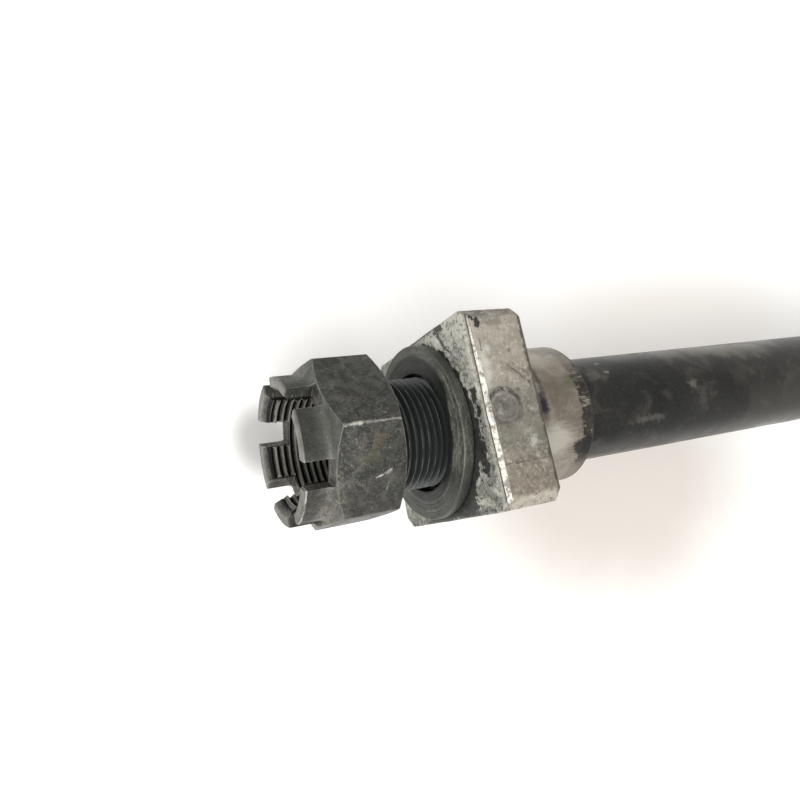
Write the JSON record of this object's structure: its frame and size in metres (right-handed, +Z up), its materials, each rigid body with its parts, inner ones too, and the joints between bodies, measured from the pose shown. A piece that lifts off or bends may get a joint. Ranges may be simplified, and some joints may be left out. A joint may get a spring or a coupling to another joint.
{
  "type": "motorcycle rear wheel axle",
  "caption": "Headed wheel shaft with a slotted castle nut, flat washer, chain adjuster block and wheel spacer threaded on its screwed end.",
  "frame": {"origin": "on the shaft's axis, at the middle of the plain length between the wheel spacer and the head", "axes": "+X along the shaft from the nut to the head, +Z up through the face of the adjuster block that the adjuster bolt pushes on, +Y across the block"},
  "size_m": [0.3111, 0.0404, 0.0436],
  "materials": {
    "axle_shaft": "satin",
    "castle_nut": "satin",
    "washer": "satin",
    "adjuster_block": "rough",
    "wheel_spacer": "satin"
  },
  "bodies": {
    "axle": {"axle_shaft": "axle_shaft"},
    "nut": {"castle_nut": "castle_nut"},
    "washer": {"washer": "washer"},
    "block": {"adjuster_block": "adjuster_block"},
    "spacer": {"wheel_spacer": "wheel_spacer"}
  },
  "joints": [
    {"name": "nut_turn", "type": "hinge", "parent": "axle", "child": "nut", "pos_m": [-0.1711, 0, 0], "axis": [1, 0, 0], "continuous": true},
    {"name": "washer_slide", "type": "slide", "parent": "axle", "child": "washer", "axis": [1, 0, 0], "range_m": [-0.0108, 0]},
    {"name": "block_turn", "type": "hinge", "parent": "axle", "child": "block", "pos_m": [-0.1404, 0, 0], "axis": [1, 0, 0], "continuous": true},
    {"name": "spacer_slide", "type": "slide", "parent": "axle", "child": "spacer", "axis": [1, 0, 0], "range_m": [0, 0.228]}
  ]
}
